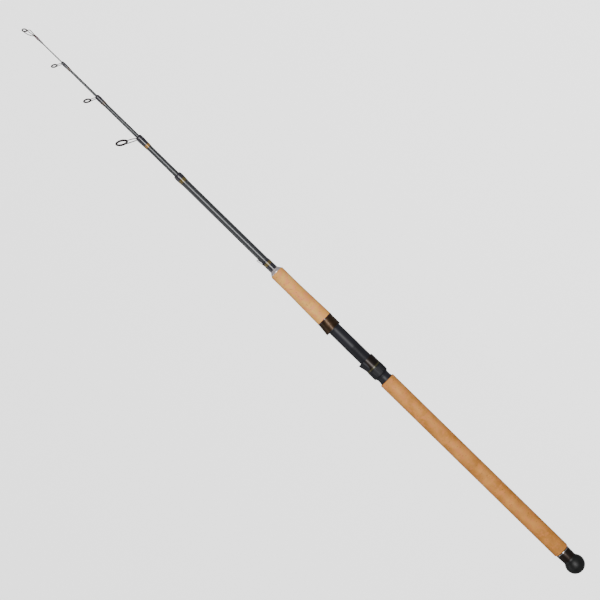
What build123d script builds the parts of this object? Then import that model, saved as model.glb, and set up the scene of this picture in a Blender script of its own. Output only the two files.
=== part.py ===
from build123d import *
import os
from math import cos, radians, sin, sqrt

# Telescopic boat rod, drawn closed for transport. Millimetres.
# +X runs along the rod towards the tip, +Z is the side of the reel and the line guides.
# The origin is the centre of the small flat face on the end of the butt ball.

os.makedirs("parts", exist_ok=True)

# ---- driving dimensions -------------------------------------------------------------

# Blanks: tapered carbon tubes, from the butt one (0) to the solid tip one (4).
blank_names = ["butt_blank", "blank_2", "blank_3", "blank_4", "tip_blank"]
nest_x = 706.3                                  # where the inner blanks rest when closed
blank_start = [20.0, nest_x, nest_x, nest_x, nest_x]
blank_end = [962.5, 1055.0, 1153.8, 1236.2, 1300.0]
end_diameter = [13.15, 9.77, 6.82, 4.14, 1.95]  # outside, at the tip end
taper = [0.0030, 0.0030, 0.0030, 0.0030, 0.0023]  # diameter lost per mm of length
overlap = [60.0, 55.0, 50.0, 45.0]              # how much stays inside when pulled out
slide_clearance = 0.05                          # radial, where a pulled-out blank holds

# Butt cap
ball_radius = 17.0
ball_x = 16.2                                   # centre of the ball, cut flat at x = 0
neck_x = 26.4                                   # where the ball turns into its neck
neck_radius = 12.4
collar_x = 30.0
collar_radius = 12.9
ring_x = 45.9
ring_length = 1.2

# Cork grips
rear_grip_start = 48.1
rear_grip_end = 463.5
rear_grip_radius = 14.5
fore_grip_start = 612.5
fore_grip_end = 725.4

# Reel seat
seat_start = 466.5
seat_end = 610.5
seat_bore = 9.5
tail_radius = 11.4
thread_radius = 11.85
thread_depth = 0.45
thread_pitch = 2.0
thread_start = 474.0
thread_turns = 36
barrel_radius = 11.75
barrel_front_radius = 11.5
land_z = 10.9                                   # flat that the reel's foot lies on
nut_start = 476.0
nut_end = 493.5
nut_radius = 14.5
moving_hood_start = 496.2
moving_hood_mouth = 513.7
fixed_hood_mouth = 588.7
hood_radius = 14.0
hood_top_z = 16.6                               # top of the moving hood's mouth
flare_radius = 14.7                             # the fixed hood's upper side at its mouth
flare_z = 2.6                                   # height of that round's centre
flare_back_radius = 14.4
lip_length = 1.3                                # black edge of the fixed hood's mouth
pocket_roof_z = 15.4
running_gap = 0.3                               # radial, between hood or nut and barrel

# Line guides on blanks 2 to 4: ring centre, ring radii and wire radius
guide_x = [1065.0, 1157.4, 1239.1]
guide_z = [31.9, 19.8, 16.0]
guide_hole = [8.0, 4.8, 3.8]
guide_outside = [11.0, 7.2, 5.9]
guide_wire = [0.85, 0.70, 0.60]
guide_lean = 33.0                               # degrees the ring leans towards the tip

# Tip-top
top_x = 1318.6
top_z = 6.6
top_hole = 3.1
top_outside = 5.0
top_lean = 52.0
top_wire = 0.70
tube_start = 1290.0
tube_end = 1301.7
tube_radius = 1.70


# ---- helpers ------------------------------------------------------------------------

def outside(blank, x):
    """Outer radius of a blank at x, drawn closed: it thins evenly towards the tip."""
    return (end_diameter[blank] + taper[blank] * (blank_end[blank] - x)) / 2


def inside(blank, x):
    """Bore radius of a blank at x: the next blank pulled out, plus the clearance."""
    base_when_out = blank_end[blank] - overlap[blank]
    return outside(blank + 1, blank_start[blank + 1] + x - base_when_out) + slide_clearance


def save(piece, name):
    """Label a finished piece and write it as one STEP file."""
    piece.part.label = name
    export_step(piece.part, f"parts/{name}.step")


def turned(name, outline, cutter=None):
    """A piece turned on the rod's axis from (x, radius) points, less an optional cutter."""
    with BuildPart() as piece:
        with BuildSketch(Plane.XZ):
            with BuildLine():
                Polyline(*outline, close=True)
            make_face()
        revolve(axis=Axis.X)
        if cutter is not None:
            add(cutter, mode=Mode.SUBTRACT)
    save(piece, name)


def sleeve(name, x0, x1, r0, r1, blank=0, cutter=None):
    """A plain sleeve that fits over a blank and tapers from radius r0 to r1."""
    turned(name, [(x0, outside(blank, x0)), (x0, r0), (x1, r1), (x1, outside(blank, x1))], cutter)


# ---- blanks -------------------------------------------------------------------------

for blank, name in enumerate(blank_names[:-1]):
    x0 = blank_start[blank]
    x1 = blank_end[blank]
    outer = [(x0, outside(blank, x0)), (x1, outside(blank, x1))]
    inner = [(x1, inside(blank, x1)), (x0, inside(blank, x0))]
    turned(name, outer + inner)

tip_start = blank_start[4]
tip_end = blank_end[4]
turned(
    "tip_blank",
    [(tip_start, 0), (tip_start, outside(4, tip_start)), (tip_end, outside(4, tip_end)), (tip_end, 0)],
)

# Cork plug glued in the butt blank: the inner blanks rest on its face.
plug_length = 12.0
plug_end = nest_x - 0.3
plug_start = plug_end - plug_length
turned(
    "stop_plug",
    [(plug_start, 0), (plug_start, inside(0, plug_start)), (plug_end, inside(0, plug_end)), (plug_end, 0)],
)

# ---- butt cap -----------------------------------------------------------------------

flat_radius = sqrt(ball_radius**2 - ball_x**2)
neck_start_radius = sqrt(ball_radius**2 - (neck_x - ball_x) ** 2)
with BuildPart() as butt_ball:
    with BuildSketch(Plane.XZ):
        with BuildLine():
            Line((0, 0), (0, flat_radius))
            ball_arc = ThreePointArc((0, flat_radius), (ball_x, ball_radius), (neck_x, neck_start_radius))
            TangentArc(ball_arc @ 1, (collar_x, neck_radius), tangent=ball_arc % 1)
            Polyline(
                (collar_x, neck_radius),
                (collar_x, outside(0, collar_x)),
                (blank_start[0], outside(0, blank_start[0])),
                (blank_start[0], 0),
                (0, 0),
            )
        make_face()
    revolve(axis=Axis.X)
save(butt_ball, "butt_ball")

groove_radius = collar_radius - 0.5
turned(
    "butt_collar",
    [
        (collar_x, outside(0, collar_x)),
        (collar_x, neck_radius),
        (ring_x, collar_radius),
        (ring_x, groove_radius),
        (ring_x + ring_length, groove_radius),
        (ring_x + ring_length, collar_radius),
        (rear_grip_start, collar_radius),
        (rear_grip_start, outside(0, rear_grip_start)),
    ],
)
turned(
    "butt_ring",
    [
        (ring_x, groove_radius),
        (ring_x, collar_radius + 0.1),
        (ring_x + ring_length, collar_radius + 0.1),
        (ring_x + ring_length, groove_radius),
    ],
)

# ---- cork grips ---------------------------------------------------------------------

end_round = 2.2
with BuildPart() as rear_grip:
    with BuildSketch(Plane.XZ):
        with BuildLine():
            Polyline(
                (rear_grip_start, rear_grip_radius - end_round),
                (rear_grip_start, outside(0, rear_grip_start)),
                (rear_grip_end, outside(0, rear_grip_end)),
                (rear_grip_end, rear_grip_radius - 0.6),
                (rear_grip_end - 0.6, rear_grip_radius),
                (rear_grip_start + end_round, rear_grip_radius),
            )
            RadiusArc(
                (rear_grip_start + end_round, rear_grip_radius),
                (rear_grip_start, rear_grip_radius - end_round),
                end_round,
            )
        make_face()
    revolve(axis=Axis.X)
save(rear_grip, "rear_grip")

fore_radius = 12.75
fore_round = 1.2
with BuildPart() as fore_grip:
    with BuildSketch(Plane.XZ):
        with BuildLine():
            Spline(
                (fore_grip_start, 14.25),
                (642.0, 13.7),
                (666.0, 12.9),
                (690.0, fore_radius),
                tangents=[(1, -0.01), (1, 0)],
            )
            Line((690.0, fore_radius), (fore_grip_end - fore_round, fore_radius))
            RadiusArc(
                (fore_grip_end - fore_round, fore_radius),
                (fore_grip_end, fore_radius - fore_round),
                fore_round,
            )
            Polyline(
                (fore_grip_end, fore_radius - fore_round),
                (fore_grip_end, outside(0, fore_grip_end)),
                (fore_grip_start, outside(0, fore_grip_start)),
                (fore_grip_start, 14.25),
            )
        make_face()
    revolve(axis=Axis.X)
save(fore_grip, "fore_grip")

# ---- reel seat barrel ---------------------------------------------------------------

sleeve("seat_trim_ring", rear_grip_end, seat_start, 11.9, 11.9)

thread_outline = []
for turn in range(thread_turns):
    x = thread_start + turn * thread_pitch
    thread_outline.append((x, thread_radius - thread_depth))
    thread_outline.append((x + 0.35 * thread_pitch, thread_radius))
    thread_outline.append((x + 0.65 * thread_pitch, thread_radius))
thread_end = thread_start + thread_turns * thread_pitch

with BuildPart() as seat_barrel:
    with BuildSketch(Plane.XZ):
        with BuildLine():
            Polyline(
                (seat_start, seat_bore),
                (seat_start, tail_radius),
                *thread_outline,
                (thread_end, thread_radius - thread_depth),
                (thread_end, barrel_radius),
                (fixed_hood_mouth, barrel_front_radius),
                (seat_end, barrel_front_radius),
                (seat_end, seat_bore),
                close=True,
            )
        make_face()
    revolve(axis=Axis.X)
    with BuildSketch(Plane.YZ.offset(thread_start)):
        with Locations((0, land_z + 5)):
            Rectangle(20, 10)
    extrude(amount=seat_end - thread_start, mode=Mode.SUBTRACT)
save(seat_barrel, "seat_barrel")

# Three cork arbors centre the barrel on the blank.
arbor_length = 16.0
with BuildPart() as seat_arbors:
    for x0 in (468.0, 528.0, 592.0):
        x1 = x0 + arbor_length
        with BuildSketch(Plane.XZ):
            with BuildLine():
                Polyline((x0, outside(0, x0)), (x0, seat_bore), (x1, seat_bore), (x1, outside(0, x1)), close=True)
            make_face()
        revolve(axis=Axis.X)
save(seat_arbors, "seat_arbors")

# ---- hoods --------------------------------------------------------------------------

hump_width = 19.0
hump_side = 5.5
hump_back_z = 13.6
pocket_width = 14.0
pocket_depth = 13.5
core_radius = 13.3
liner_radius = 12.7


def block_section(top, width, side_radius):
    """A rounded rectangle across the rod whose top edge stands at the height top."""
    height = top - 2.0
    with Locations((0, top - height / 2)):
        RectangleRounded(width, height, side_radius)


def pocket(mouth, direction):
    """The wedge-shaped space that takes one end of the reel's foot."""
    with BuildPart() as space:
        with BuildSketch(Plane.YZ.offset(mouth - 0.5 * direction)):
            block_section(pocket_roof_z, pocket_width, 1.5)
        with BuildSketch(Plane.YZ.offset(mouth + pocket_depth * direction)):
            block_section(13.4, pocket_width - 1, 1.5)
        loft()
    return space.part


def barrel_space(x0, x1, radius, flat_z):
    """The space that the barrel takes inside a hood: a round with the land's flat."""
    with BuildPart() as space:
        with BuildSketch(Plane.YZ.offset(x0)):
            Circle(radius)
            with Locations((0, flat_z + 10)):
                Rectangle(40, 20, mode=Mode.SUBTRACT)
        extrude(amount=x1 - x0)
    return space.part


# Moving hood: a black core with the pocket, and a bronze shell round the rest.
with BuildPart() as moving_hump:
    with BuildSketch(Plane.YZ.offset(moving_hood_mouth)):
        block_section(hood_top_z, hump_width, hump_side)
    with BuildSketch(Plane.YZ.offset(moving_hood_start)):
        block_section(hump_back_z, hump_width - 3, hump_side)
    loft()

moving_pocket = pocket(moving_hood_mouth, -1)
moving_space = barrel_space(
    moving_hood_start - 1,
    moving_hood_mouth + 1,
    thread_radius + running_gap,
    land_z + running_gap,
)

with BuildPart() as moving_hood:
    with BuildSketch(Plane.YZ.offset(moving_hood_start)):
        Circle(core_radius)
    extrude(amount=moving_hood_mouth - moving_hood_start)
    add(moving_hump.part)
    add(moving_space, mode=Mode.SUBTRACT)
    add(moving_pocket, mode=Mode.SUBTRACT)
save(moving_hood, "moving_hood")

shell_start = moving_hood_start
shell_end = moving_hood_mouth - 0.5
with BuildPart() as moving_shell:
    with BuildSketch(Plane.YZ.offset(shell_start)):
        Circle(hood_radius)
        Circle(core_radius, mode=Mode.SUBTRACT)
    extrude(amount=shell_end - shell_start)
    add(moving_hump.part, mode=Mode.SUBTRACT)
save(moving_shell, "moving_hood_shell")

# Fixed hood: a bronze shell that flares on its upper side, on a black liner with a lip.
fixed_pocket = pocket(fixed_hood_mouth, 1)
fixed_space = barrel_space(fixed_hood_mouth - 1, seat_end + 1, barrel_front_radius, land_z)

with BuildPart() as hood_outline:
    with BuildSketch(Plane.YZ.offset(fixed_hood_mouth)):
        with Locations((0, flare_z)):
            Circle(flare_radius)
    with BuildSketch(Plane.YZ.offset(seat_end)):
        Circle(flare_back_radius)
    loft()
    with BuildSketch(Plane.YZ.offset(fixed_hood_mouth)):
        Circle(hood_radius)
    extrude(amount=seat_end - fixed_hood_mouth)

with BuildPart() as lip_space:
    with BuildSketch(Plane.YZ.offset(fixed_hood_mouth)):
        Circle(2 * hood_radius)
    extrude(amount=lip_length)

with BuildPart() as fixed_hood:
    add(hood_outline.part)
    add(lip_space.part, mode=Mode.SUBTRACT)
    with BuildSketch(Plane.YZ.offset(fixed_hood_mouth)):
        Circle(liner_radius)
    extrude(amount=seat_end - fixed_hood_mouth, mode=Mode.SUBTRACT)
    add(fixed_pocket, mode=Mode.SUBTRACT)
save(fixed_hood, "fixed_hood")

with BuildPart() as fixed_hood_liner:
    add(hood_outline.part)
    add(lip_space.part, mode=Mode.INTERSECT)
    with BuildSketch(Plane.YZ.offset(fixed_hood_mouth)):
        Circle(liner_radius)
    extrude(amount=seat_end - fixed_hood_mouth)
    add(fixed_space, mode=Mode.SUBTRACT)
    add(fixed_pocket, mode=Mode.SUBTRACT)
save(fixed_hood_liner, "fixed_hood_liner")

sleeve("fixed_hood_trim", seat_end, fore_grip_start, 14.7, 14.7)

# ---- lock nut -----------------------------------------------------------------------

nut_bore = thread_radius + running_gap
flute_count = 24
with BuildPart() as lock_nut:
    with BuildSketch(Plane.XZ):
        with BuildLine():
            Line((nut_start, nut_bore), (nut_start, 12.6))
            ThreePointArc((nut_start, 12.6), (nut_start + 1.2, 13.8), (nut_start + 4.5, nut_radius))
            Polyline(
                (nut_start + 4.5, nut_radius),
                (nut_end, nut_radius),
                (nut_end, nut_bore),
                (nut_start, nut_bore),
            )
        make_face()
    revolve(axis=Axis.X)
    with BuildSketch(Plane.YZ.offset(nut_start)):
        with PolarLocations(nut_radius + 0.35, flute_count):
            Circle(0.75)
    extrude(amount=nut_end - nut_start - 2, mode=Mode.SUBTRACT)
save(lock_nut, "lock_nut")

turned(
    "nut_band",
    [
        (nut_end, nut_bore),
        (nut_end, hood_radius + 0.2),
        (moving_hood_start, hood_radius),
        (moving_hood_start, nut_bore),
    ],
)

# ---- wraps and hook keeper on the butt blank ----------------------------------------

check_end = 731.7
wrap_end = 752.6
wrap_radius = 7.6
turned(
    "winding_check",
    [
        (fore_grip_end, outside(0, fore_grip_end)),
        (fore_grip_end, 11.4),
        (fore_grip_end + 1.5, 11.2),
        (check_end - 1, 8.1),
        (check_end, 7.9),
        (check_end, outside(0, check_end)),
    ],
)

keeper_wire = 0.55
keeper_half_width = 2.2
keeper_reach = 13.4
keeper_tilt = 13.0
with BuildPart() as hook_keeper:
    keeper_plane = Plane(
        origin=(wrap_end - 2.5, 0, outside(0, wrap_end) + keeper_wire + 0.1),
        x_dir=(cos(radians(keeper_tilt)), 0, sin(radians(keeper_tilt))),
        z_dir=(-sin(radians(keeper_tilt)), 0, cos(radians(keeper_tilt))),
    )
    with BuildLine(keeper_plane) as keeper_path:
        FilletPolyline(
            (0, -1.6),
            (keeper_reach, -keeper_half_width),
            (keeper_reach, keeper_half_width),
            (0, 1.6),
            radius=1.9,
        )
    with BuildSketch(Plane(origin=keeper_path.line @ 0, z_dir=keeper_path.line % 0)):
        Circle(keeper_wire)
    sweep(path=keeper_path.line)
    # a flat foot joins the two ends of the wire under the whipping
    with BuildSketch(Plane.YZ.offset(wrap_end - 3.4)):
        with Locations((0, outside(0, wrap_end) + keeper_wire + 0.1)):
            Rectangle(4.6, 1.3)
    extrude(amount=2.6)
save(hook_keeper, "hook_keeper")

keeper_band_x = [743.0, 749.0]
band_depth = 0.35
band_proud = 0.05
turned(
    "keeper_wrap",
    [
        (check_end, outside(0, check_end)),
        (check_end, wrap_radius),
        (keeper_band_x[0], wrap_radius),
        (keeper_band_x[0], wrap_radius - band_depth),
        (keeper_band_x[1], wrap_radius - band_depth),
        (keeper_band_x[1], wrap_radius),
        (wrap_end - 1, wrap_radius),
        (wrap_end, outside(0, wrap_end) + 0.1),
        (wrap_end, outside(0, wrap_end)),
    ],
    cutter=hook_keeper.part,
)
turned(
    "keeper_band",
    [
        (keeper_band_x[0], wrap_radius - band_depth),
        (keeper_band_x[0], wrap_radius + band_proud),
        (keeper_band_x[1], wrap_radius + band_proud),
        (keeper_band_x[1], wrap_radius - band_depth),
    ],
)


# ---- wraps at the ends of the blanks ------------------------------------------------

def end_wrap(name, blank, start, peak_x, peak_radius, finish, finish_radius, band):
    """Thread whipping, swollen near the tip end, with a coloured band laid in a groove."""
    start_radius = outside(blank, start) + 0.25
    slope = (peak_radius - start_radius) / (peak_x - start)
    band_radius = [start_radius + slope * (x - start) for x in band]
    with BuildPart() as wrap:
        with BuildSketch(Plane.XZ):
            with BuildLine():
                Polyline(
                    (start, outside(blank, start)),
                    (start, start_radius),
                    (band[0], band_radius[0]),
                    (band[0], band_radius[0] - band_depth / 2),
                    (band[1], band_radius[1] - band_depth / 2),
                    (band[1], band_radius[1]),
                    (peak_x, peak_radius),
                )
                middle_x = (peak_x + finish) / 2
                middle_radius = 0.3 * finish_radius + 0.7 * peak_radius
                ThreePointArc((peak_x, peak_radius), (middle_x, middle_radius), (finish, finish_radius))
                Polyline(
                    (finish, finish_radius),
                    (finish, outside(blank, finish)),
                    (start, outside(blank, start)),
                )
            make_face()
        revolve(axis=Axis.X)
    save(wrap, f"{name}_wrap")
    turned(
        f"{name}_band",
        [
            (band[0], band_radius[0] - band_depth / 2),
            (band[0], band_radius[0] + band_proud),
            (band[1], band_radius[1] + band_proud),
            (band[1], band_radius[1] - band_depth / 2),
        ],
    )


end_wrap("butt_ferrule", 0, 943.0, 955.0, 7.65, 962.5, 6.75, [944.7, 951.5])
collar_length = 5.0
wrap_start = [1028.0, 1131.7, 1215.0]
wrap_peak = [6.1, 4.45, 3.05]
for index in range(3):
    blank = index + 1
    finish = blank_end[blank] - collar_length
    start = wrap_start[index]
    end_wrap(
        f"ferrule_{blank + 1}",
        blank,
        start,
        finish - 3.0,
        wrap_peak[index],
        finish,
        wrap_peak[index] - 0.15,
        [start + 1.2, start + 6.8],
    )

# ---- line guides --------------------------------------------------------------------

def lean_axes(lean):
    """Unit vectors of a leaning ring: outwards from the rod in its plane, and its axis."""
    outward = Vector(sin(radians(lean)), 0, cos(radians(lean)))
    axis = Vector(cos(radians(lean)), 0, -sin(radians(lean)))
    return outward, axis


def ring_bead(centre, lean, inner, outer, width, corner):
    """A ring of rounded section, turned about its own leaning axis."""
    outward, axis = lean_axes(lean)
    with BuildPart() as bead:
        with BuildSketch(Plane(origin=centre, x_dir=outward, z_dir=(0, 1, 0))):
            with Locations(((inner + outer) / 2, 0)):
                RectangleRounded(outer - inner, width, corner)
        revolve(axis=Axis(centre, axis))
    return bead


def wire(start, middle, finish, radius):
    """A round wire bent to one arc through three points."""
    with BuildPart() as leg:
        with BuildLine() as path:
            ThreePointArc(start, middle, finish)
        with BuildSketch(Plane(origin=path.line @ 0, z_dir=path.line % 0)):
            Circle(radius)
        sweep(path=path.line)
    return leg.part


insert_share = 0.52                             # how much of the ring's width the insert takes
leg_angle = 38.0
for index in range(3):
    blank = index + 1
    centre = Vector(guide_x[index], 0, guide_z[index])
    outward, axis = lean_axes(guide_lean)
    hole = guide_hole[index]
    rim = guide_outside[index]
    seam = hole + insert_share * (rim - hole)
    wire_radius = guide_wire[index]
    insert = ring_bead(centre, guide_lean, hole, seam, 0.95 * (rim - hole), 0.24 * (rim - hole))
    save(insert, f"guide_{index + 1}_ring")

    collar_start = blank_end[blank] - collar_length
    collar_end = blank_end[blank]
    collar_outside = wrap_peak[index] - 0.15
    holder = ring_bead(centre, guide_lean, seam, rim, 0.6 * (rim - hole), 0.16 * (rim - hole))
    with BuildPart() as frame:
        with BuildSketch(Plane.XZ):
            with BuildLine():
                Polyline(
                    (collar_start, outside(blank, collar_start)),
                    (collar_start, collar_outside),
                    (collar_end - 2.0, collar_outside - 0.1),
                    (collar_end - 0.6, 0.4 * collar_outside + 0.6 * outside(blank, collar_end)),
                    (collar_end, outside(blank, collar_end) + 0.15),
                    (collar_end, outside(blank, collar_end)),
                    close=True,
                )
            make_face()
        revolve(axis=Axis.X)
        add(holder.part)
        for side in (-1, 1):
            foot = Vector(collar_end - 3.0, side * 0.42 * collar_outside, 0.78 * collar_outside)
            rim_radius = rim - 0.45 * (rim - seam)
            across = side * rim_radius * sin(radians(leg_angle))
            reach = rim_radius * cos(radians(leg_angle))
            top = centre - outward * reach + Vector(0, across, 0)
            middle = (foot + top) * 0.5 + Vector(0.6, side * 0.09 * guide_z[index] * 0.6, 0)
            add(wire(foot, middle, top, wire_radius))
        # the blank's space stays free of the leg wires
        with BuildSketch(Plane.XZ):
            with BuildLine():
                Polyline(
                    (collar_start - 2, 0),
                    (collar_start - 2, outside(blank, collar_start - 2)),
                    (collar_end + 2, outside(blank, collar_end + 2)),
                    (collar_end + 2, 0),
                    close=True,
                )
            make_face()
        revolve(axis=Axis.X, mode=Mode.SUBTRACT)
    save(frame, f"guide_{index + 1}_frame")

# ---- tip-top ------------------------------------------------------------------------

tip_wrap_start = 1281.0
turned(
    "tip_wrap",
    [
        (tip_wrap_start, outside(4, tip_wrap_start)),
        (tip_wrap_start, outside(4, tip_wrap_start) + 0.15),
        (tip_wrap_start + 1.5, 1.55),
        (tube_start, 1.6),
        (tube_start, outside(4, tube_start)),
    ],
)
tube_wrap_end = 1299.0
turned(
    "tip_top_wrap",
    [
        (tube_start, tube_radius),
        (tube_start, tube_radius + 0.2),
        (tube_start + 1.5, tube_radius + 0.35),
        (tube_wrap_end - 1.5, tube_radius + 0.35),
        (tube_wrap_end, tube_radius + 0.15),
        (tube_wrap_end, tube_radius),
    ],
)

top_centre = Vector(top_x, 0, top_z)
top_outward, top_axis = lean_axes(top_lean)
top_seam = top_hole + insert_share * (top_outside - top_hole)
top_insert = ring_bead(top_centre, top_lean, top_hole, top_seam, 2.0, 0.45)
save(top_insert, "tip_top_ring")
top_holder = ring_bead(top_centre, top_lean, top_seam, top_outside, 1.2, 0.3)
top_rim = top_outside - 0.15

with BuildPart() as tip_top_frame:
    with BuildSketch(Plane.XZ):
        with BuildLine():
            Polyline(
                (tube_start, outside(4, tube_start)),
                (tube_start, tube_radius),
                (tube_end - 0.5, tube_radius),
                (tube_end, tube_radius - 0.5),
                (tube_end, 0),
                (tip_end, 0),
                (tip_end, outside(4, tip_end)),
                close=True,
            )
        make_face()
    revolve(axis=Axis.X)
    add(top_holder.part)
    # one leg runs along under the tube and turns up to the ring's lower edge
    low_edge = top_centre - top_outward * top_rim
    run_end = Vector(1311.5, 0, -1.5)
    with BuildLine() as low_path:
        Line((tube_end - 1.2, 0, -0.9), run_end)
        TangentArc(run_end, low_edge, tangent=(1, 0, -0.05))
    with BuildSketch(Plane(origin=low_path.line @ 0, z_dir=low_path.line % 0)):
        Circle(top_wire)
    sweep(path=low_path.line, transition=Transition.ROUND)
    # two legs bow out to the ring's sides
    for side in (-1, 1):
        side_point = top_centre + Vector(0, side * top_rim, 0)
        root_point = Vector(tube_end - 1.0, side * 0.7, 0.6)
        bow_point = Vector(1309.0, side * 3.5, 4.9)
        add(wire(root_point, bow_point, side_point, top_wire))
save(tip_top_frame, "tip_top_frame")
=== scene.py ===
"""Telescopic boat rod, drawn closed for transport, in metres.

+X runs along the rod towards the tip and +Z is the side of the line guides and of the reel's foot.
Sizes are written in millimetres and turned to metres by mm when a mesh is made.
"""
import bpy
import bmesh
import numpy as np
from math import cos, radians, sin, tau
from mathutils import Matrix, Vector


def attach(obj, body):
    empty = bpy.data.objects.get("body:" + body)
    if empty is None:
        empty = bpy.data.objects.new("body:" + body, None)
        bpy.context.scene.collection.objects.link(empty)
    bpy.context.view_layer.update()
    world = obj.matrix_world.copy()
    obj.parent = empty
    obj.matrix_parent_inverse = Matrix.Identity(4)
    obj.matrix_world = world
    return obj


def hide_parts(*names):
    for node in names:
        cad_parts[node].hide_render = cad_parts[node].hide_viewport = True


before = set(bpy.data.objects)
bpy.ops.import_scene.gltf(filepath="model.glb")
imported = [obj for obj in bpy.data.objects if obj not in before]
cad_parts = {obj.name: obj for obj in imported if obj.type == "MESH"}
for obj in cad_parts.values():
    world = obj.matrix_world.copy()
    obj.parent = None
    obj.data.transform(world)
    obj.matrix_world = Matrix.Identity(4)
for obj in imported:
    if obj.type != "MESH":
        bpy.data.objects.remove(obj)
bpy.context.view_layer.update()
mm = 0.001

# ---- camera --------------------------------------------------------------------------
# The rod hangs level and is seen from its left side, a third of the way over its top.
# The camera is rolled, so that the tip points up and to the left.

view_distance = 2.7
view_width = 1.02
view_centre = Vector((0.664, 0.0, 0.0))
view_lift = 0.006
over_top = radians(33.0)
tip_angle = radians(135.65)

to_camera = Vector((0.0, -cos(over_top), sin(over_top)))
guide_side = Vector((0.0, sin(over_top), cos(over_top)))
along_rod = Vector((1.0, 0.0, 0.0))
right = cos(tip_angle) * along_rod - sin(tip_angle) * guide_side
up = sin(tip_angle) * along_rod + cos(tip_angle) * guide_side
eye = view_centre + guide_side * view_lift + to_camera * view_distance

lens = bpy.data.cameras.new("camera")
lens.sensor_width = 36.0
lens.lens = lens.sensor_width * view_distance / view_width
lens.clip_start = 0.05
lens.clip_end = 50.0
camera = bpy.data.objects.new("camera", lens)
camera.matrix_world = Matrix.Translation(eye) @ Matrix((right, up, to_camera)).transposed().to_4x4()
bpy.context.scene.collection.objects.link(camera)
bpy.context.scene.camera = camera

# ---- floor and lights ----------------------------------------------------------------
# A pale floor well below the rod, lit by its own wide light so that it stays even and white.
# One long soft light stands behind the camera, so that the rod's two edges fall away dark.

floor_z = -0.9
floor_half = 9.0
floor_mesh = bpy.data.meshes.new("floor")
floor_corners = [(-1, -1), (1, -1), (1, 1), (-1, 1)]
floor_points = [(x * floor_half, y * floor_half, floor_z) for x, y in floor_corners]
floor_mesh.from_pydata(floor_points, [], [(0, 1, 2, 3)])
floor = bpy.data.objects.new("floor", floor_mesh)
bpy.context.scene.collection.objects.link(floor)
floor_paint = bpy.data.materials.new("pale_floor")
floor_paint.use_nodes = True
floor_shader = floor_paint.node_tree.nodes["Principled BSDF"]
floor_shader.inputs["Base Color"].default_value = (0.93, 0.93, 0.93, 1)
floor_shader.inputs["Roughness"].default_value = 0.9
floor_shader.inputs["Specular IOR Level"].default_value = 0.1
floor.data.materials.append(floor_paint)
floor.visible_glossy = False
floor.visible_diffuse = False

world = bpy.data.worlds.new("studio")
world.use_nodes = True
world.node_tree.nodes["Background"].inputs["Color"].default_value = (1.0, 1.0, 1.0, 1)
world.node_tree.nodes["Background"].inputs["Strength"].default_value = 0.3
bpy.context.scene.world = world


def soft_light(name, place, aim, width, height, power):
    """A rectangular light at place that faces aim."""
    lamp = bpy.data.lights.new(name, "AREA")
    lamp.shape = "RECTANGLE"
    lamp.size = width
    lamp.size_y = height
    lamp.energy = power
    holder = bpy.data.objects.new(name, lamp)
    holder.visible_camera = False
    holder.location = place
    holder.rotation_euler = (Vector(place) - Vector(aim)).to_track_quat("Z", "Y").to_euler()
    bpy.context.scene.collection.objects.link(holder)


soft_light("key", view_centre + to_camera * 3.0, view_centre, 3.0, 1.0, 95)
soft_light("top", (0.7, 0.9, 2.2), (0.66, 0, 0), 2.4, 0.8, 8)
soft_light("floor_wash", (0, 0, -0.35), (0, 0, floor_z), 2 * floor_half, 2 * floor_half, 2100)

# ---- blanks --------------------------------------------------------------------------
# Four carbon tubes and a solid tip, each tapering into the one before it. The cloth is
# wrapped on a mandrel, baked under tape and sanded, then lacquered, so the lacquer has a
# faint slanting band where each turn of the tape lay.


def linear(red, green, blue):
    """Screen values from 0 to 255 turned into the renderer's linear colour."""
    screen = np.array([red, green, blue]) / 255
    low = screen / 12.92
    high = ((screen + 0.055) / 1.055) ** 2.4
    return (*np.where(screen <= 0.04045, low, high).tolist(), 1.0)


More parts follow.
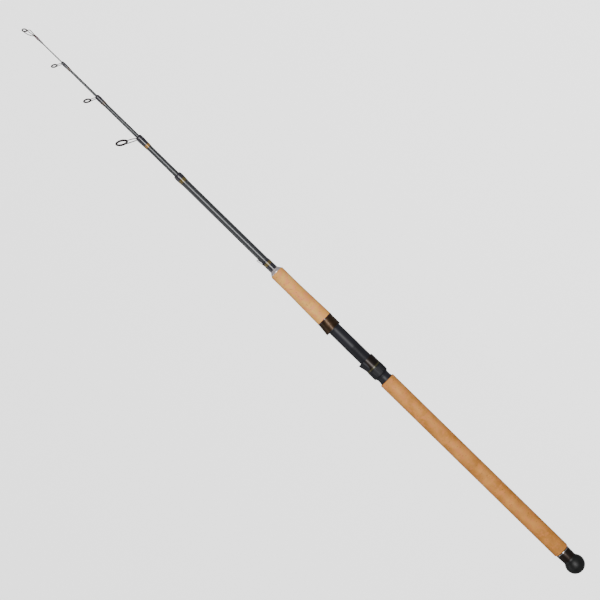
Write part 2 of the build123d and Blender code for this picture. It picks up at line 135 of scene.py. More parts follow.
class Finish:
    """A surface finish: a Principled shader, with patterns measured in millimetres."""

    def __init__(self, name, colour, roughness, metallic=0.0, coat=0.0, coat_roughness=0.08, specular=0.5):
        self.material = bpy.data.materials.new(name)
        self.material.use_nodes = True
        self.nodes = self.material.node_tree.nodes
        self.links = self.material.node_tree.links
        self.shader = self.nodes["Principled BSDF"]
        settings = {
            "Base Color": colour,
            "Roughness": roughness,
            "Metallic": metallic,
            "Coat Weight": coat,
            "Coat Roughness": coat_roughness,
            "Specular IOR Level": specular,
        }
        for socket, value in settings.items():
            self.shader.inputs[socket].default_value = value

    def node(self, kind, **values):
        """A node of that kind, with its sockets set by name or joined to another's output."""
        node = self.nodes.new(kind)
        for socket, value in values.items():
            socket = node.inputs[socket.replace("_", " ")]
            if isinstance(value, bpy.types.NodeSocket):
                self.links.new(value, socket)
            else:
                socket.default_value = value
        return node

    def place(self, stretch=(1, 1, 1), turn=(0, 0, 0), shift=(0, 0, 0)):
        """Object coordinates in millimetres, stretched, turned and shifted."""
        where = self.node("ShaderNodeTexCoord").outputs["Object"]
        scale = [1000 * part for part in stretch]
        values = {"Vector": where, "Scale": scale, "Rotation": turn, "Location": shift}
        return self.node("ShaderNodeMapping", **values).outputs[0]

    def noise(self, where, scale, detail=3.0, roughness=0.5, distortion=0.0):
        """Cloudy noise from 0 to 1."""
        values = {"Vector": where, "Scale": scale, "Detail": detail, "Roughness": roughness}
        return self.node("ShaderNodeTexNoise", Distortion=distortion, **values).outputs[0]

    def cells(self, where, scale, randomness=1.0):
        """Distance to the nearest of many scattered points."""
        return self.node("ShaderNodeTexVoronoi", Vector=where, Scale=scale, Randomness=randomness).outputs[0]

    def waves(self, where, scale, distortion=0.0):
        """Ridges that follow one another along X."""
        node = self.node("ShaderNodeTexWave", Vector=where, Scale=scale, Distortion=distortion)
        node.wave_type = "BANDS"
        node.bands_direction = "X"
        return node.outputs[1]

    def ramp(self, factor, *stops):
        """Colours or values at places from 0 to 1, blended between them."""
        node = self.node("ShaderNodeValToRGB", Fac=factor)
        steps = node.color_ramp.elements
        while len(steps) < len(stops):
            steps.new(0.5)
        for step, (place, value) in zip(steps, stops):
            step.position = place
            step.color = value if isinstance(value, tuple) else (value, value, value, 1)
        return node.outputs[0]

    def mix(self, factor, first, second, blend="MIX"):
        """Two colours blended by a factor."""
        node = self.nodes.new("ShaderNodeMix")
        node.data_type = "RGBA"
        node.blend_type = blend
        for socket, value in zip((0, 6, 7), (factor, first, second)):
            if isinstance(value, bpy.types.NodeSocket):
                self.links.new(value, node.inputs[socket])
            else:
                node.inputs[socket].default_value = value
        return node.outputs[2]

    def use(self, socket, value):
        """Joins a pattern to one of the shader's sockets."""
        self.links.new(value, self.shader.inputs[socket])

    def relief(self, height, depth, strength=1.0, under=None):
        """Raises the surface by a pattern, depth in millimetres; under is another relief."""
        node = self.node("ShaderNodeBump", Height=height, Distance=depth * mm, Strength=strength)
        if under is not None:
            self.links.new(under, node.inputs["Normal"])
        self.use("Normal", node.outputs[0])
        return node.outputs[0]


def follow(outline, step):
    """Points along an outline at most step apart, with every corner kept."""
    dense = []
    for (x0, r0), (x1, r1) in zip(outline, outline[1:]):
        count = max(1, int(np.ceil(np.hypot(x1 - x0, r1 - r0) / step)))
        dense += [(x0 + (x1 - x0) * k / count, r0 + (r1 - r0) * k / count) for k in range(count)]
    return dense + [outline[-1]]


def eased(outline, radius, closed=True):
    """The outline with each corner replaced by a short curve about radius long each way."""
    points = np.array(outline, float)
    last = len(points) - 1
    smooth = []
    for i, corner in enumerate(points):
        if not closed and i in (0, last):
            smooth.append(tuple(corner))
            continue
        before = points[i - 1] - corner
        after = points[(i + 1) % len(points)] - corner
        reach_before = min(radius, 0.45 * np.hypot(*before))
        reach_after = min(radius, 0.45 * np.hypot(*after))
        start = corner + before / np.hypot(*before) * reach_before
        end = corner + after / np.hypot(*after) * reach_after
        for t in (0.0, 0.25, 0.5, 0.75, 1.0):
            smooth.append(tuple((1 - t) ** 2 * start + 2 * t * (1 - t) * corner + t * t * end))
    return smooth


def mesh_piece(name, points, faces, finish, sharp=40):
    """An object from points in millimetres; edges bent by more than sharp degrees stay hard."""
    mesh = bpy.data.meshes.new(name)
    mesh.from_pydata((np.asarray(points) * mm).tolist(), [], faces)
    mesh.validate()
    shape = bmesh.new()
    shape.from_mesh(mesh)
    bmesh.ops.recalc_face_normals(shape, faces=shape.faces)
    shape.to_mesh(mesh)
    shape.free()
    mesh.shade_smooth()
    mesh.set_sharp_from_angle(angle=radians(sharp))
    mesh.materials.append(finish.material)
    piece = bpy.data.objects.new(name, mesh)
    bpy.context.scene.collection.objects.link(piece)
    return piece


def turned(name, outline, finish, around=64, closed=True, relief=None, flat=None, sharp=40):
    """A surface turned on the X axis: point(i, a) = (x_i, r sin a, r cos a), r = r_i + relief(x_i, r_i, a).

    A closed outline makes a tube. An open one starts and ends on the axis. Height is cut off at flat.
    """
    profile = np.array(outline, float)
    angle = np.arange(around) * tau / around
    x, a = np.meshgrid(profile[:, 0], angle, indexing="ij")
    r = np.repeat(profile[:, 1:2], around, axis=1)
    if relief is not None:
        r = r + relief(x, r, a)
    height = r * np.cos(a)
    if flat is not None:
        height = np.minimum(height, flat)
    points = np.stack([x, r * np.sin(a), height], axis=-1).reshape(-1, 3)
    rings = len(profile)
    spans = rings if closed else rings - 1
    i, j = np.meshgrid(np.arange(spans), np.arange(around), indexing="ij")
    nxt = (i + 1) % rings
    turn = (j + 1) % around
    quads = np.stack([i * around + j, i * around + turn, nxt * around + turn, nxt * around + j], axis=-1)
    piece = mesh_piece(name, points, quads.reshape(-1, 4).tolist(), finish, sharp)
    if not closed:
        shape = bmesh.new()
        shape.from_mesh(piece.data)
        bmesh.ops.remove_doubles(shape, verts=shape.verts, dist=1e-7)
        shape.to_mesh(piece.data)
        shape.free()
    return piece


def fit(piece, body, slot, *nodes):
    """The piece rides on a body and stands for its CAD nodes, which are hidden; the slot is not used."""
    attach(piece, body)
    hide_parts(*nodes)


graphite = Finish("graphite_lacquer", linear(58, 60, 63), 0.32, metallic=0.3, coat=0.7, coat_roughness=0.16)
tape = graphite.waves(graphite.place(turn=(0, 0, 0.12)), 0.055, 0.6)
weave = graphite.noise(graphite.place(stretch=(0.25, 1.6, 1.6)), 1.4, 4.0)
tape_colour = graphite.ramp(tape, (0.0, linear(50, 52, 55)), (1.0, linear(66, 68, 71)))
graphite.use("Base Color", graphite.mix(weave, tape_colour, linear(52, 54, 57)))
graphite.use("Roughness", graphite.ramp(weave, (0.3, 0.28), (0.8, 0.42)))
graphite.relief(tape, 0.03, 0.5, under=graphite.relief(weave, 0.01, 0.5))

nest_x = 706.3
blank_names = ["butt_blank", "blank_2", "blank_3", "blank_4", "tip_blank"]
blank_bodies = ["handle", "section_2", "section_3", "section_4", "tip_section"]
blank_start = [20.0, nest_x, nest_x, nest_x, nest_x]
blank_end = [962.5, 1055.0, 1153.8, 1236.2, 1300.0]
end_diameter = [13.15, 9.77, 6.82, 4.14, 1.95]
taper = [0.0030, 0.0030, 0.0030, 0.0030, 0.0023]
overlap = [60.0, 55.0, 50.0, 45.0]
slide_clearance = 0.05


def outside(blank, x):
    """Outer radius of a blank at x, drawn closed."""
    return (end_diameter[blank] + taper[blank] * (blank_end[blank] - x)) / 2


def inside(blank, x):
    """Bore radius of a blank at x: the next blank pulled out, plus the clearance."""
    base_when_out = blank_end[blank] - overlap[blank]
    return outside(blank + 1, blank_start[blank + 1] + x - base_when_out) + slide_clearance


for blank, node in enumerate(blank_names):
    x0, x1 = blank_start[blank], blank_end[blank]
    if blank < 4:
        outline = [(x0, outside(blank, x0)), (x1, outside(blank, x1))]
        outline += [(x1, inside(blank, x1)), (x0, inside(blank, x0))]
        tube = turned(f"{node}_tube", outline, graphite, around=56)
    else:
        outline = [(x0, 0), (x0, outside(4, x0)), (x1, outside(4, x1)), (x1, 0)]
        tube = turned("solid_tip", outline, graphite, around=32, closed=False)
    fit(tube, blank_bodies[blank], "carbon_blank", node)

# ---- butt cap ------------------------------------------------------------------------
# A moulded rubber ball on the end of the blank rests against the belly or stands on deck.
# A turned gunmetal collar with a bright ring let into it closes the cork.

rubber = Finish("black_rubber", linear(14, 15, 15), 0.40, specular=0.35)
skin = rubber.noise(rubber.place(), 1.6, 6.0, 0.6)
scuff = rubber.noise(rubber.place(), 0.12, 3.0)
rubber.use("Base Color", rubber.ramp(scuff, (0.35, linear(13, 14, 14)), (0.75, linear(26, 28, 27))))
rubber.use("Roughness", rubber.ramp(scuff, (0.3, 0.36), (0.7, 0.5)))
rubber.relief(skin, 0.04, 0.5)

ball_radius, ball_x = 16.98, 16.2
collar_x, neck_radius = 30.0, 12.4
cork_start = 48.1
ball_outline = [(0.0, 0.0)]
# the ball: x = ball_x - radius cos t, r = radius sin t, cut flat at x = 0
for t in np.linspace(np.arccos(ball_x / ball_radius), np.arccos(-0.6), 30):
    ball_outline.append((ball_x - ball_radius * cos(t), ball_radius * sin(t)))
# the neck: a quadratic curve that leaves the ball along its tangent and ends level
neck_x, neck_bend_x, neck_drop = 26.4, 28.0, 1.2
for t in np.linspace(0, 1, 9)[1:]:
    x = neck_x * (1 - t) ** 2 + 2 * neck_bend_x * t * (1 - t) + collar_x * t * t
    ball_outline.append((x, neck_radius + neck_drop * (1 - t) ** 2))
ball_outline += [(collar_x, outside(0, collar_x)), (20.0, outside(0, 20.0)), (20.0, 0.0)]
ball = turned("rubber_ball", ball_outline, rubber, around=96, closed=False, sharp=35)
fit(ball, "handle", "butt_rubber", "butt_ball")

gunmetal = Finish("gunmetal", linear(48, 40, 36), 0.33, metallic=0.8)
turning = gunmetal.noise(gunmetal.place(stretch=(9, 0.2, 0.2)), 1.0, 2.0)
gunmetal.use("Roughness", gunmetal.ramp(turning, (0.3, 0.26), (0.7, 0.42)))
gunmetal.relief(turning, 0.01, 0.4)

collar_radius = 12.9
ring_start, ring_end = 45.9, 47.1
collar_outline = [
    (collar_x, outside(0, collar_x)),
    (collar_x, neck_radius),
    (ring_start, collar_radius),
    (ring_start, collar_radius - 0.5),
    (ring_end, collar_radius - 0.5),
    (ring_end, collar_radius),
    (cork_start, collar_radius),
    (cork_start, outside(0, cork_start)),
]
collar = turned("butt_collar_sleeve", eased(collar_outline, 0.15), gunmetal, around=96)
fit(collar, "handle", "gunmetal", "butt_collar")

polish = Finish("polished_ring", linear(205, 205, 208), 0.16, metallic=1.0)
polish.relief(polish.noise(polish.place(stretch=(8, 0.3, 0.3)), 1.0), 0.006, 0.4)
ring_outline = [(ring_start, 12.4), (ring_start, 13.0), (ring_end, 13.0), (ring_end, 12.4)]
bright = turned("inlaid_ring", eased(ring_outline, 0.12), polish, around=96)
fit(bright, "handle", "bright_ring", "butt_ring")

# ---- cork grips ----------------------------------------------------------------------
# Both grips are built from cork rings glued end to end, turned and sanded. The cork keeps
# its lenticels, dark pits that run through it, and each ring differs a little in tone.


def cork_finish(name, light, deep, rosy):
    """Sanded cork: soft blotches of two tones, fine grain, dark specks and small pits."""
    cork = Finish(name, light, 0.62, specular=0.3)
    wide = cork.noise(cork.place(stretch=(0.6, 1, 1)), 0.055, 2.0)
    blotch = cork.noise(cork.place(shift=(31, 7, 3)), 0.13, 3.0, 0.55)
    grain = cork.noise(cork.place(), 1.1, 5.0, 0.65)
    ring_tone = cork.node("ShaderNodeTexWhiteNoise")
    ring_tone.noise_dimensions = "1D"
    along = cork.node("ShaderNodeSeparateXYZ", Vector=cork.place()).outputs[0]
    stack = cork.node("ShaderNodeMath", Value=along)
    stack.operation = "DIVIDE"
    stack.inputs[1].default_value = 12.7
    step = cork.node("ShaderNodeMath", Value=stack.outputs[0])
    step.operation = "FLOOR"
    cork.links.new(step.outputs[0], ring_tone.inputs["W"])
    tone = cork.mix(cork.ramp(wide, (0.35, 0.0), (0.65, 1.0)), light, deep)
    tone = cork.mix(cork.ramp(blotch, (0.48, 0.0), (0.62, 0.9)), tone, rosy)
    shade = cork.ramp(grain, (0.3, 0.80), (0.7, 1.08))
    tone = cork.mix(1.0, tone, shade, "MULTIPLY")
    ring_shade = cork.ramp(ring_tone.outputs[0], (0.0, 0.90), (1.0, 1.04))
    tone = cork.mix(1.0, tone, ring_shade, "MULTIPLY")
    # lenticels: thin dark dashes that lie round the grip
    dash = cork.cells(cork.place(stretch=(1.0, 0.42, 0.42)), 0.42)
    keep = cork.noise(cork.place(shift=(5, 40, 9)), 0.22, 1.0)
    dash_mask = cork.ramp(dash, (0.10, 1.0), (0.20, 0.0))
    keep_mask = cork.ramp(keep, (0.43, 0.0), (0.53, 1.0))
    specks = cork.mix(1.0, dash_mask, keep_mask, "MULTIPLY")
    tone = cork.mix(specks, tone, linear(104, 62, 32))
    # the cork is tinted darker and browner towards the butt: the tint fades out 440 mm along
    butt_gradient = cork.node("ShaderNodeMath", Value=along)
    butt_gradient.operation = "DIVIDE"
    butt_gradient.inputs[1].default_value = 800.0
    tint = cork.ramp(butt_gradient.outputs[0], (0.06, (0.84, 0.80, 0.68, 1)), (0.55, 1.0))
    tone = cork.mix(1.0, tone, tint, "MULTIPLY")
    cork.use("Base Color", tone)
    cork.use("Roughness", cork.ramp(grain, (0.3, 0.55), (0.7, 0.72)))
    cork.relief(grain, 0.10, 0.35, under=cork.relief(dash_mask, -0.15, 0.5))
    return cork


pit_random = np.random.default_rng(7)


def pitted(x0, x1, count, radius):
    """A relief of round-bottomed pits scattered over a grip.

    Each pit lowers the surface by depth * (1 - (distance / size)^2)^2 inside its own size.
    """
    pit_x = pit_random.uniform(x0 + 3, x1 - 3, count)
    pit_a = pit_random.uniform(0, tau, count)
    size = pit_random.uniform(0.8, 2.1, count)
    stretch = pit_random.uniform(0.5, 0.9, count)
    depth = pit_random.uniform(0.10, 0.32, count)

    def relief(x, r, a):
        lowered = np.zeros_like(x)
        for px, pa, s, k, d in zip(pit_x, pit_a, size, stretch, depth):
            rows = np.flatnonzero(np.abs(x[:, 0] - px) < s)
            if len(rows) == 0:
                continue
            part = slice(rows[0], rows[-1] + 1)
            around = (a[part] - pa + tau / 2) % tau - tau / 2
            far = ((x[part] - px) / (s * k)) ** 2 + (around * radius / s) ** 2
            lowered[part] -= d * np.clip(1 - far, 0, 1) ** 2
        return np.where(r > radius - 2.0, lowered, 0.0)

    return relief


rear_cork = cork_finish("rear_cork", linear(238, 164, 84), linear(206, 136, 58), linear(234, 150, 82))
fore_cork = cork_finish("fore_cork", linear(255, 196, 108), linear(250, 176, 84), linear(255, 164, 104))

rear_end = 463.5
rear_radius = 14.5
corner = np.linspace(0, tau / 4, 7)
rear_outline = [(cork_start, outside(0, cork_start))]
rear_outline += [(cork_start + 2.2 - 2.2 * cos(t), rear_radius - 2.2 + 2.2 * sin(t)) for t in corner]
rear_outline += [(rear_end - 0.6, rear_radius), (rear_end, rear_radius - 0.6)]
rear_outline += [(rear_end, outside(0, rear_end))]
rear_skin = follow(rear_outline, 0.75)
rear_pits = pitted(cork_start, rear_end, 260, rear_radius)
rear = turned("rear_cork_grip", rear_skin, rear_cork, 128, relief=rear_pits)
fit(rear, "handle", "cork", "rear_grip")

fore_start, fore_end = 612.5, 725.4
fore_radius = 12.75
fore_outline = [(fore_start, outside(0, fore_start))]
for s in np.linspace(0, 1, 24):
    ease = s * s * (3 - 2 * s)
    swell = 0.35 * s + 0.65 * ease
    fore_outline.append((fore_start + s * (690.0 - fore_start), 14.25 + (fore_radius - 14.25) * swell))
fore_outline += [(fore_end - 1.2 + 1.2 * sin(t), fore_radius - 1.2 + 1.2 * cos(t)) for t in corner]
fore_outline += [(fore_end, outside(0, fore_end))]
fore_skin = follow(fore_outline, 0.7)
fore = turned("fore_cork_grip", fore_skin, fore_cork, 128, relief=pitted(fore_start, fore_end, 75, 13.2))
fit(fore, "handle", "cork", "fore_grip")

# ---- reel seat barrel ----------------------------------------------------------------
# A moulded tube with a rolled right-hand thread behind and a flat along its top, where the
# reel's foot lies. Cork arbors centre it on the blank.

seat_black = Finish("seat_graphite", linear(30, 31, 37), 0.44, specular=0.35)
mould = seat_black.noise(seat_black.place(), 2.2, 4.0, 0.6)
sweep_tone = seat_black.noise(seat_black.place(stretch=(0.3, 1, 1)), 0.09, 2.0)
charcoal = seat_black.ramp(sweep_tone, (0.3, linear(26, 28, 32)), (0.7, linear(35, 34, 44)))
seat_black.use("Base Color", charcoal)
seat_black.use("Roughness", seat_black.ramp(mould, (0.3, 0.36), (0.7, 0.5)))
seat_black.relief(mould, 0.02, 0.4)

seat_start, seat_end = 466.5, 610.5
thread_start, thread_end = 474.0, 546.0
thread_radius, thread_depth, thread_pitch = 11.85, 0.45, 2.0
hood_mouth = 588.7
land_z = 10.9


def thread(x, r, a):
    """A helical thread: it drops by the depth where the phase x / pitch - a / turn is mid-groove."""
    phase = (x / thread_pitch + a / tau) % 1.0
    groove = np.clip(2.2 * np.abs(phase - 0.5) - 0.12, 0, 0.6) / 0.6
    fade = np.clip((x - thread_start) / 2, 0, 1) * np.clip((thread_end - x) / 3, 0, 1)
    return np.where(r > thread_radius - 0.2, -thread_depth * (1 - groove) * fade, 0.0)


barrel_outline = [
    (seat_start, 9.5),
    (seat_start, 11.4),
    (thread_start - 0.5, 11.4),
    (thread_start, thread_radius),
    (thread_end, thread_radius),
    (thread_end + 3.0, 11.72),
    (hood_mouth, 11.5),
    (seat_end, 11.5),
    (seat_end, 9.5),
]
fine = follow(barrel_outline[3:5], 0.2)
barrel_skin = follow(barrel_outline[:4], 2.0)[:-1] + fine[:-1] + follow(barrel_outline[4:], 2.0)
barrel = turned("seat_tube", barrel_skin, seat_black, 96, relief=thread, flat=land_z, sharp=50)
fit(barrel, "handle", "seat_graphite", "seat_barrel")

trim_outline = [(rear_end, outside(0, rear_end)), (rear_end, 11.9)]
trim_outline += [(seat_start, 11.9), (seat_start, outside(0, seat_start))]
tail_ring = turned("seat_tail_ring", eased(trim_outline, 0.5), seat_black, 96)
fit(tail_ring, "handle", "seat_graphite", "seat_trim_ring")

arbor = Finish("arbor_cork", linear(196, 150, 104), 0.8, specular=0.2)
arbor.relief(arbor.noise(arbor.place(), 1.2, 4.0), 0.1, 0.5)
for node in ("seat_arbors", "stop_plug"):
    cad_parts[node].data.materials.clear()
    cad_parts[node].data.materials.append(arbor.material)

# ---- hoods ---------------------------------------------------------------------------
# The fixed hood is a pressed bronze shell on a moulded liner. The moving hood is a moulded
# core with a bronze sleeve round its back, and its raised side covers the reel's foot.


def joined_copy(name, node, finish, sharp=35, bevel=0.0):
    """The CAD shape with its triangles joined, so that it can be shaded smooth and bevelled."""
    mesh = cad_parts[node].data.copy()
    mesh.name = name
    shape = bmesh.new()
    shape.from_mesh(mesh)
    bmesh.ops.remove_doubles(shape, verts=shape.verts, dist=2e-6)
    bmesh.ops.dissolve_limit(shape, angle_limit=radians(0.5), verts=shape.verts, edges=shape.edges)
    shape.to_mesh(mesh)
    shape.free()
    mesh.shade_smooth()
    mesh.set_sharp_from_angle(angle=radians(sharp))
    mesh.materials.clear()
    mesh.materials.append(finish.material)
    piece = bpy.data.objects.new(name, mesh)
    bpy.context.scene.collection.objects.link(piece)
    if bevel:
        edge = piece.modifiers.new("edge", "BEVEL")
        edge.width = bevel * mm
        edge.segments = 2
        edge.limit_method = "ANGLE"
        edge.angle_limit = radians(35)
        edge.harden_normals = True
    return piece


bronze = Finish("bronze_anodised", linear(64, 44, 26), 0.38, metallic=0.8, coat=0.1)
brush = bronze.noise(bronze.place(stretch=(6, 0.5, 0.5)), 0.6, 3.0)
cloud = bronze.noise(bronze.place(), 0.09, 3.0)
bronze.use("Base Color", bronze.ramp(cloud, (0.3, linear(56, 40, 25)), (0.7, linear(80, 60, 42))))
bronze.use("Roughness", bronze.ramp(brush, (0.3, 0.3), (0.7, 0.45)))
bronze.relief(brush, 0.01, 0.3)

smoked = Finish("smoked_bronze", linear(36, 28, 24), 0.36, metallic=0.7, coat=0.2)
smoked.relief(smoked.noise(smoked.place(stretch=(6, 0.5, 0.5)), 0.6, 3.0), 0.01, 0.3)

for name, node, body, finish, slot in (
    ("front_hood_shell", "fixed_hood", "handle", bronze, "bronze_hood"),
    ("front_hood_lining", "fixed_hood_liner", "handle", seat_black, "seat_graphite"),
    ("sliding_hood_core", "moving_hood", "moving_hood", seat_black, "seat_graphite"),
    ("sliding_hood_sleeve", "moving_hood_shell", "moving_hood", smoked, "bronze_hood"),
):
    fit(joined_copy(name, node, finish, bevel=0.2), body, slot, node)

maroon_gloss = Finish("dark_maroon_gloss", linear(46, 18, 24), 0.2, coat=0.6)
maroon_gloss.relief(maroon_gloss.noise(maroon_gloss.place(), 0.8), 0.01, 0.3)
cuff_outline = [(seat_end, outside(0, seat_end)), (seat_end, 14.7)]
cuff_outline += [(fore_start, 14.7), (fore_start, outside(0, fore_start))]
cuff = turned("front_hood_cuff", eased(cuff_outline, 0.5), maroon_gloss, 96)
fit(cuff, "handle", "dark_trim", "fixed_hood_trim")

# ---- lock nut ------------------------------------------------------------------------
# A moulded nut with shallow flutes for wet fingers. It pushes the moving hood along, and a
# lacquered olive ring hides the joint between the two.

nut_black = Finish("nut_black", linear(20, 20, 26), 0.44, specular=0.35)
nut_mould = nut_black.noise(nut_black.place(), 2.0, 4.0)
nut_black.use("Roughness", nut_black.ramp(nut_mould, (0.3, 0.38), (0.7, 0.52)))
nut_black.relief(nut_mould, 0.02, 0.4)

nut_start, nut_end = 476.0, 493.5
nut_bore = 12.15
nut_radius = 14.5
flute_count = 24


def flutes(x, r, a):
    """Shallow grooves along the nut: cos(count * a) above a half, squared, inside the grip's length."""
    wave = np.clip(np.cos(flute_count * a) - 0.35, 0, 1) / 0.65
    run = np.clip((nut_end - 1.5 - x) / 1.2, 0, 1) * np.clip((x - nut_start - 1.0) / 3.0, 0, 1)
    return np.where(r > 13.0, -0.38 * wave ** 2 * run, 0.0)


nut_outline = [(nut_start, nut_bore), (nut_start, 12.6)]
nut_outline += [(nut_start + 4.5 * (1 - cos(t)), 12.6 + 1.9 * sin(t)) for t in np.linspace(0, tau / 4, 9)[1:]]
nut_outline += [(nut_end - 0.3, nut_radius), (nut_end, nut_radius - 0.3), (nut_end, nut_bore)]
nut = turned("fluted_nut", follow(nut_outline, 0.7), nut_black, 240, relief=flutes, sharp=50)
fit(nut, "lock_nut", "nut_black", "lock_nut")

olive = Finish("olive_lacquer", linear(60, 56, 26), 0.36, metallic=0.3, coat=0.4)
olive.relief(olive.noise(olive.place(stretch=(6, 0.4, 0.4)), 0.8), 0.01, 0.3)
band_outline = [(nut_end, nut_bore), (nut_end, 14.2), (496.2, 14.0), (496.2, nut_bore)]
nut_ring = turned("olive_ring", eased(band_outline, 0.2), olive, 96)
fit(nut_ring, "lock_nut", "olive_band", "nut_band")

# ---- thread whippings ----------------------------------------------------------------
# Each blank ends in a whipping of black thread under clear epoxy, which swells near the
# tip end. A band of gold, copper or brown metallic thread is wound into it. The keeper's feet
# are under the first one, behind the satin winding check.


def whipping_finish(name, colour, thread_colour, metallic, pitch=0.28):
    """Thread wound side by side, seen through a thick clear coat."""
    finish = Finish(name, colour, 0.3, metallic=metallic, coat=1.0, coat_roughness=0.04)
    turns = finish.waves(finish.place(), 0.5 / pitch, 0.15)
    flow = finish.noise(finish.place(), 0.35, 2.0)
    finish.use("Base Color", finish.mix(finish.ramp(turns, (0.2, 0.0), (0.8, 1.0)), colour, thread_colour))
    finish.relief(turns, 0.02, 0.5, under=finish.relief(flow, 0.06, 0.4))
    return finish


black_thread = whipping_finish("black_whipping", linear(16, 14, 22), linear(40, 36, 50), 0.0)
gold_thread = whipping_finish("gold_whipping", linear(72, 61, 25), linear(122, 104, 46), 0.4)
copper_thread = whipping_finish("copper_whipping", linear(118, 84, 34), linear(178, 130, 58), 0.4)
brown_thread = whipping_finish("brown_whipping", linear(48, 36, 30), linear(88, 66, 48), 0.2)

check_outline = [
    (fore_end, outside(0, fore_end)),
    (fore_end, 11.4),
    (fore_end + 1.5, 11.2),
    (730.7, 8.1),
    (731.7, 7.9),
    (731.7, outside(0, 731.7)),
]
satin = Finish("satin_nickel", linear(236, 222, 222), 0.34, metallic=0.8)
satin.relief(satin.noise(satin.place(stretch=(8, 0.3, 0.3)), 1.0), 0.006, 0.4)
check = turned("turned_winding_check", eased(check_outline, 0.4), satin, 80)
fit(check, "handle", "gunmetal", "winding_check")

groove = 0.35
keeper_wrap_radius = 7.6
keeper_outline = [
    (731.7, outside(0, 731.7)),
    (731.7, keeper_wrap_radius),
    (743.0, keeper_wrap_radius),
    (743.0, keeper_wrap_radius - groove),
    (749.0, keeper_wrap_radius - groove),
    (749.0, keeper_wrap_radius),
    (751.0, keeper_wrap_radius - 0.05),
    (752.6, outside(0, 752.6) + 0.1),
    (752.6, outside(0, 752.6)),
]
keeper_whipping = turned("keeper_whipping", eased(keeper_outline, 0.3), black_thread, 72)
fit(keeper_whipping, "handle", "black_wrap", "keeper_wrap")
keeper_gold = [(743.0, 7.25), (743.0, 7.65), (749.0, 7.65), (749.0, 7.25)]
keeper_ring = turned("keeper_gold_band", eased(keeper_gold, 0.1), gold_thread, 72)
fit(keeper_ring, "handle", "gold_thread", "keeper_band")

ferrules = [
    ("butt_ferrule", 0, 943.0, 955.0, 7.65, 962.5, 6.75, 944.7, 951.5, gold_thread),
    ("ferrule_2", 1, 1028.0, 1047.0, 6.1, 1050.0, 5.95, 1029.2, 1034.8, copper_thread),
    ("ferrule_3", 2, 1131.7, 1145.8, 4.45, 1148.8, 4.3, 1132.9, 1138.5, brown_thread),
    ("ferrule_4", 3, 1215.0, 1228.2, 3.05, 1231.2, 2.9, 1216.2, 1221.8, brown_thread),
]
for ferrule in ferrules:
    name, blank, start, peak, peak_radius = ferrule[:5]
    finish_x, finish_radius, band_start, band_end, thread_finish = ferrule[5:]
    low = outside(blank, start) + 0.25
    slope = (peak_radius - low) / (peak - start)
    at_start = low + slope * (band_start - start)
    at_end = low + slope * (band_end - start)
    outline = [
        (start, outside(blank, start)),
        (start, low),
        (band_start, at_start),
        (band_start, at_start - groove / 2),
        (band_end, at_end - groove / 2),
        (band_end, at_end),
    ]
    for t in np.linspace(0, 1, 12):
        swollen = peak_radius + (finish_radius - peak_radius) * t * t
        outline.append((peak + (finish_x - peak) * t, swollen))
    outline.append((finish_x, outside(blank, finish_x)))
    whipping = turned(f"{name}_whipping", eased(outline, 0.2), black_thread, 64)
    fit(whipping, blank_bodies[blank], "black_wrap", f"{name}_wrap")
    gold = [
        (band_start, at_start - groove / 2),
        (band_start, at_start + 0.05),
        (band_end, at_end + 0.05),
        (band_end, at_end - groove / 2),
    ]
    band = turned(f"{name}_gold_band", eased(gold, 0.05), thread_finish, 64)
    fit(band, blank_bodies[blank], "gold_thread", f"{name}_band")

# ---- hook keeper and line guides -----------------------------------------------------
# Bent steel wire, plated gunmetal. Each guide's two legs rise from a collar at the blank's
# end and hold a ring, with a polished dark ceramic insert that the line runs through.

steel = Finish("plated_wire", linear(78, 73, 80), 0.28, metallic=0.7)
steel.use("Roughness", steel.ramp(steel.noise(steel.place(), 1.5, 3.0), (0.3, 0.2), (0.7, 0.34)))
rim_plate = Finish("maroon_plate", linear(30, 13, 19), 0.42, metallic=0.2)
rim_plate.relief(rim_plate.noise(rim_plate.place(), 1.5), 0.01, 0.3)
ceramic = Finish("maroon_ceramic", linear(26, 9, 15), 0.3, specular=0.35)
clouds = ceramic.noise(ceramic.place(), 0.6)
ceramic.use("Base Color", ceramic.ramp(clouds, (0.3, linear(20, 7, 12)), (0.7, linear(36, 15, 21))))


def bead(name, centre, lean, inner, outer, width, finish):
    """A ring of rounded section about a leaning axis.

    Point(s, a) = centre + (middle + half * super(cos s)) * (outward cos a + Y sin a)
    + axis * width / 2 * super(sin s), where super(v) keeps the sign of v and takes |v| to a power.
    """
    outward = np.array([sin(radians(lean)), 0, cos(radians(lean))])
    axis = np.array([cos(radians(lean)), 0, -sin(radians(lean))])
    s, a = np.meshgrid(np.arange(20) * tau / 20, np.arange(72) * tau / 72, indexing="ij")
    squared = 0.75
    in_plane = np.sign(np.cos(s)) * np.abs(np.cos(s)) ** squared
    out_of_plane = np.sign(np.sin(s)) * np.abs(np.sin(s)) ** squared
    radius = (inner + outer) / 2 + (outer - inner) / 2 * in_plane
    spoke = np.cos(a)[..., None] * outward + np.sin(a)[..., None] * np.array([0, 1.0, 0])
    points = np.array(centre) + radius[..., None] * spoke + (width / 2 * out_of_plane)[..., None] * axis
    i, j = np.meshgrid(np.arange(20), np.arange(72), indexing="ij")
    down, turn = (i + 1) % 20, (j + 1) % 72
    faces = np.stack([i * 72 + j, i * 72 + turn, down * 72 + turn, down * 72 + j], axis=-1)
    return mesh_piece(name, points.reshape(-1, 3), faces.reshape(-1, 4).tolist(), finish, 60)


def three_finishes(piece, centre, rim, collar_end, collar_radius):
    """Plates the ring of a guide maroon and lacquers its collar black; the legs stay steel."""
    piece.data.materials.append(rim_plate.material)
    piece.data.materials.append(black_thread.material)
    for face in piece.data.polygons:
        place = face.center / mm
        if (place - Vector(centre)).length < rim + 0.15:
            face.material_index = 1
        elif place.x < collar_end and np.hypot(place.y, place.z) < collar_radius + 0.25:
            face.material_index = 2


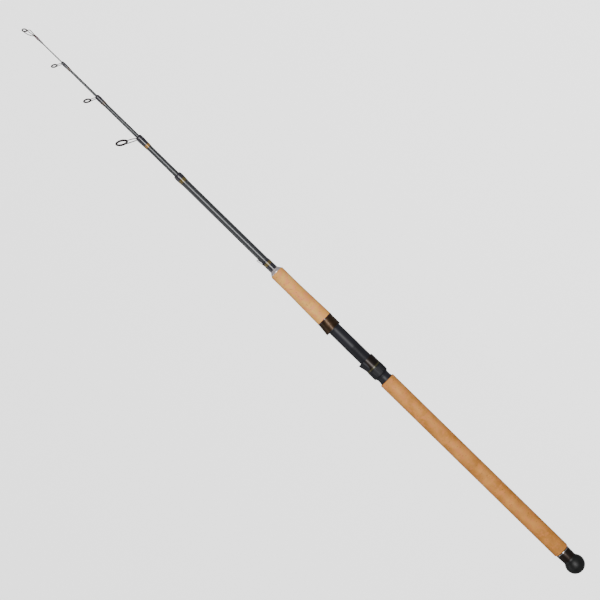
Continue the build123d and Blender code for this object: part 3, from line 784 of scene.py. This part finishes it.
insert_share = 0.52
guides = [
    (1, "section_2", (1065.0, 0, 31.9), 8.0, 11.0, 5.95),
    (2, "section_3", (1157.4, 0, 19.8), 4.8, 7.2, 4.3),
    (3, "section_4", (1239.1, 0, 16.0), 3.8, 5.9, 2.9),
]
for number, body, centre, hole, rim, collar_radius in guides:
    seam = hole + insert_share * (rim - hole)
    insert = bead(f"guide_{number}_insert", centre, 33.0, hole, seam, 1.25 * (rim - hole), ceramic)
    fit(insert, body, "guide_ceramic", f"guide_{number}_ring")
    wires = joined_copy(f"guide_{number}_wires", f"guide_{number}_frame", steel, sharp=50)
    three_finishes(wires, centre, rim, blank_end[number] + 0.1, collar_radius)
    fit(wires, body, "guide_steel", f"guide_{number}_frame")

keeper = joined_copy("keeper_wire", "hook_keeper", steel, sharp=50)
fit(keeper, "handle", "guide_steel", "hook_keeper")

# ---- tip-top -------------------------------------------------------------------------
# A steel tube glued over the tip carries three bent wires and the last ring. Its root is
# whipped grey, and the tube itself maroon.

grey_thread = whipping_finish("grey_whipping", linear(70, 66, 70), linear(120, 114, 118), 0.2)
maroon_thread = whipping_finish("maroon_whipping", linear(54, 22, 34), linear(100, 56, 72), 0.1)
tip_root = [(1281.0, outside(4, 1281.0)), (1281.0, 1.13), (1282.5, 1.55)]
tip_root += [(1290.0, 1.6), (1290.0, outside(4, 1290.0))]
root_whipping = turned("tip_root_whipping", eased(tip_root, 0.1), grey_thread, 40)
fit(root_whipping, "tip_section", "black_wrap", "tip_wrap")
tube_wrap = [(1290.0, 1.7), (1290.0, 1.9), (1291.5, 2.05), (1297.5, 2.05), (1299.0, 1.85), (1299.0, 1.7)]
tube_whipping = turned("tip_tube_whipping", eased(tube_wrap, 0.1), maroon_thread, 40)
fit(tube_whipping, "tip_section", "maroon_wrap", "tip_top_wrap")

top_centre = (1318.6, 0, 6.6)
top_insert = bead("tip_top_insert", top_centre, 52.0, 3.1, 4.088, 2.5, ceramic)
fit(top_insert, "tip_section", "guide_ceramic", "tip_top_ring")
bronze_wire = Finish("bronze_wire", linear(56, 38, 32), 0.34, metallic=0.5)
drawn = bronze_wire.noise(bronze_wire.place(), 1.5)
bronze_wire.use("Roughness", bronze_wire.ramp(drawn, (0.3, 0.2), (0.7, 0.35)))
top_wires = joined_copy("tip_top_wires", "tip_top_frame", bronze_wire, sharp=50)
three_finishes(top_wires, top_centre, 5.0, 0.0, 0.0)
fit(top_wires, "tip_section", "guide_steel", "tip_top_frame")

# ---- final update --------------------------------------------------------------------
bpy.context.view_layer.update()
